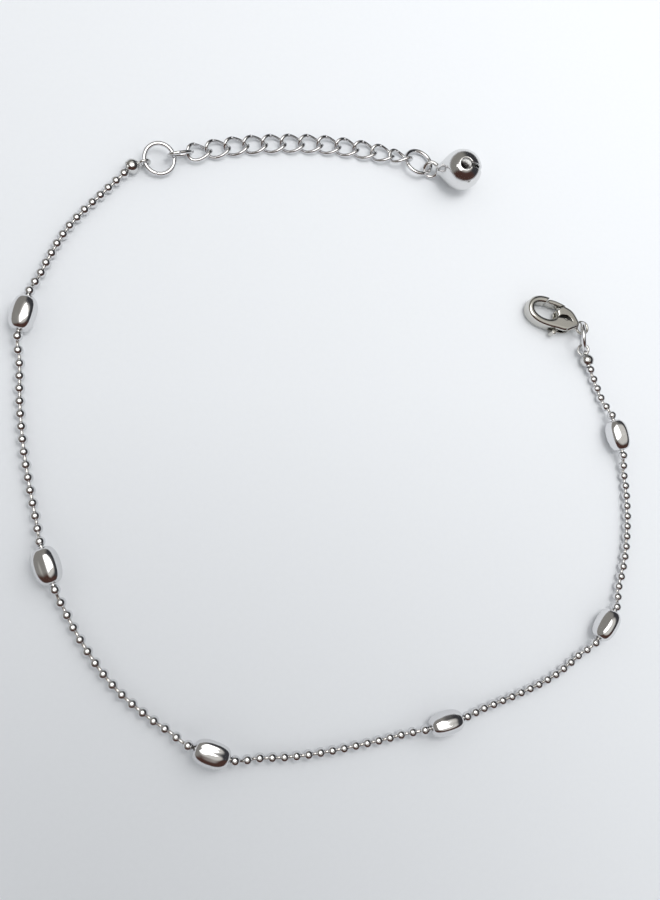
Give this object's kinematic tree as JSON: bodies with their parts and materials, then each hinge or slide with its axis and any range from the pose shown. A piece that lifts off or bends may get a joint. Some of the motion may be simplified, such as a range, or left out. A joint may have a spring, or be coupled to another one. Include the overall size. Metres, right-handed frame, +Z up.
{
  "type": "ball chain anklet",
  "caption": "Ball chain anklet with oval beads, lobster clasp, and a curb extension chain ending in a round bell, lying open.",
  "frame": {"origin": "middle of the footprint of the lying anklet, on the surface that it rests on", "axes": "+Z up from the surface; the extension chain and the bell lie along the +Y side, the clasp on the +X side"},
  "size_m": [0.0978, 0.0966, 0.0064],
  "materials": {
    "polished_chain": "mirror-polished silver-coloured metal",
    "polished_bead": "mirror-polished silver-coloured metal, slightly wavy",
    "plated_fitting": "plated silver-coloured metal, slightly dull",
    "plated_wire": "plated silver-coloured wire",
    "polished_bell": "mirror-polished silver-coloured metal",
    "cast_clasp": "cast and plated, satin faces with rounded edges"
  },
  "bodies": {
    "root": {"ball_chain_left": "polished_chain", "ball_chain_right": "polished_chain", "oval_bead_1": "polished_bead", "oval_bead_2": "polished_bead", "oval_bead_3": "polished_bead", "oval_bead_4": "polished_bead", "oval_bead_5": "polished_bead", "oval_bead_6": "polished_bead", "end_connector_left": "plated_fitting", "end_connector_right": "plated_fitting", "jump_ring_large": "plated_wire", "jump_ring_end": "plated_wire", "jump_ring_clasp": "plated_wire", "curb_link_01": "plated_wire", "curb_link_02": "plated_wire", "curb_link_03": "plated_wire", "curb_link_04": "plated_wire", "curb_link_05": "plated_wire", "curb_link_06": "plated_wire", "curb_link_07": "plated_wire", "curb_link_08": "plated_wire", "curb_link_09": "plated_wire", "curb_link_10": "plated_wire", "curb_link_11": "plated_wire", "curb_link_12": "plated_wire", "curb_link_13": "plated_wire", "bell_body": "polished_bell", "bell_clapper": "plated_fitting", "clasp_body": "cast_clasp"},
    "lever": {"clasp_lever": "cast_clasp"}
  },
  "joints": [
    {"name": "lever_pivot", "type": "hinge", "parent": "root", "child": "lever", "pos_m": [0.03849, 0.01965, 0.00115], "axis": [0, 0, 1], "range_deg": [0, 30], "stiffness_Nm_per_rad": 0.002, "springref_deg": -11.46}
  ]
}
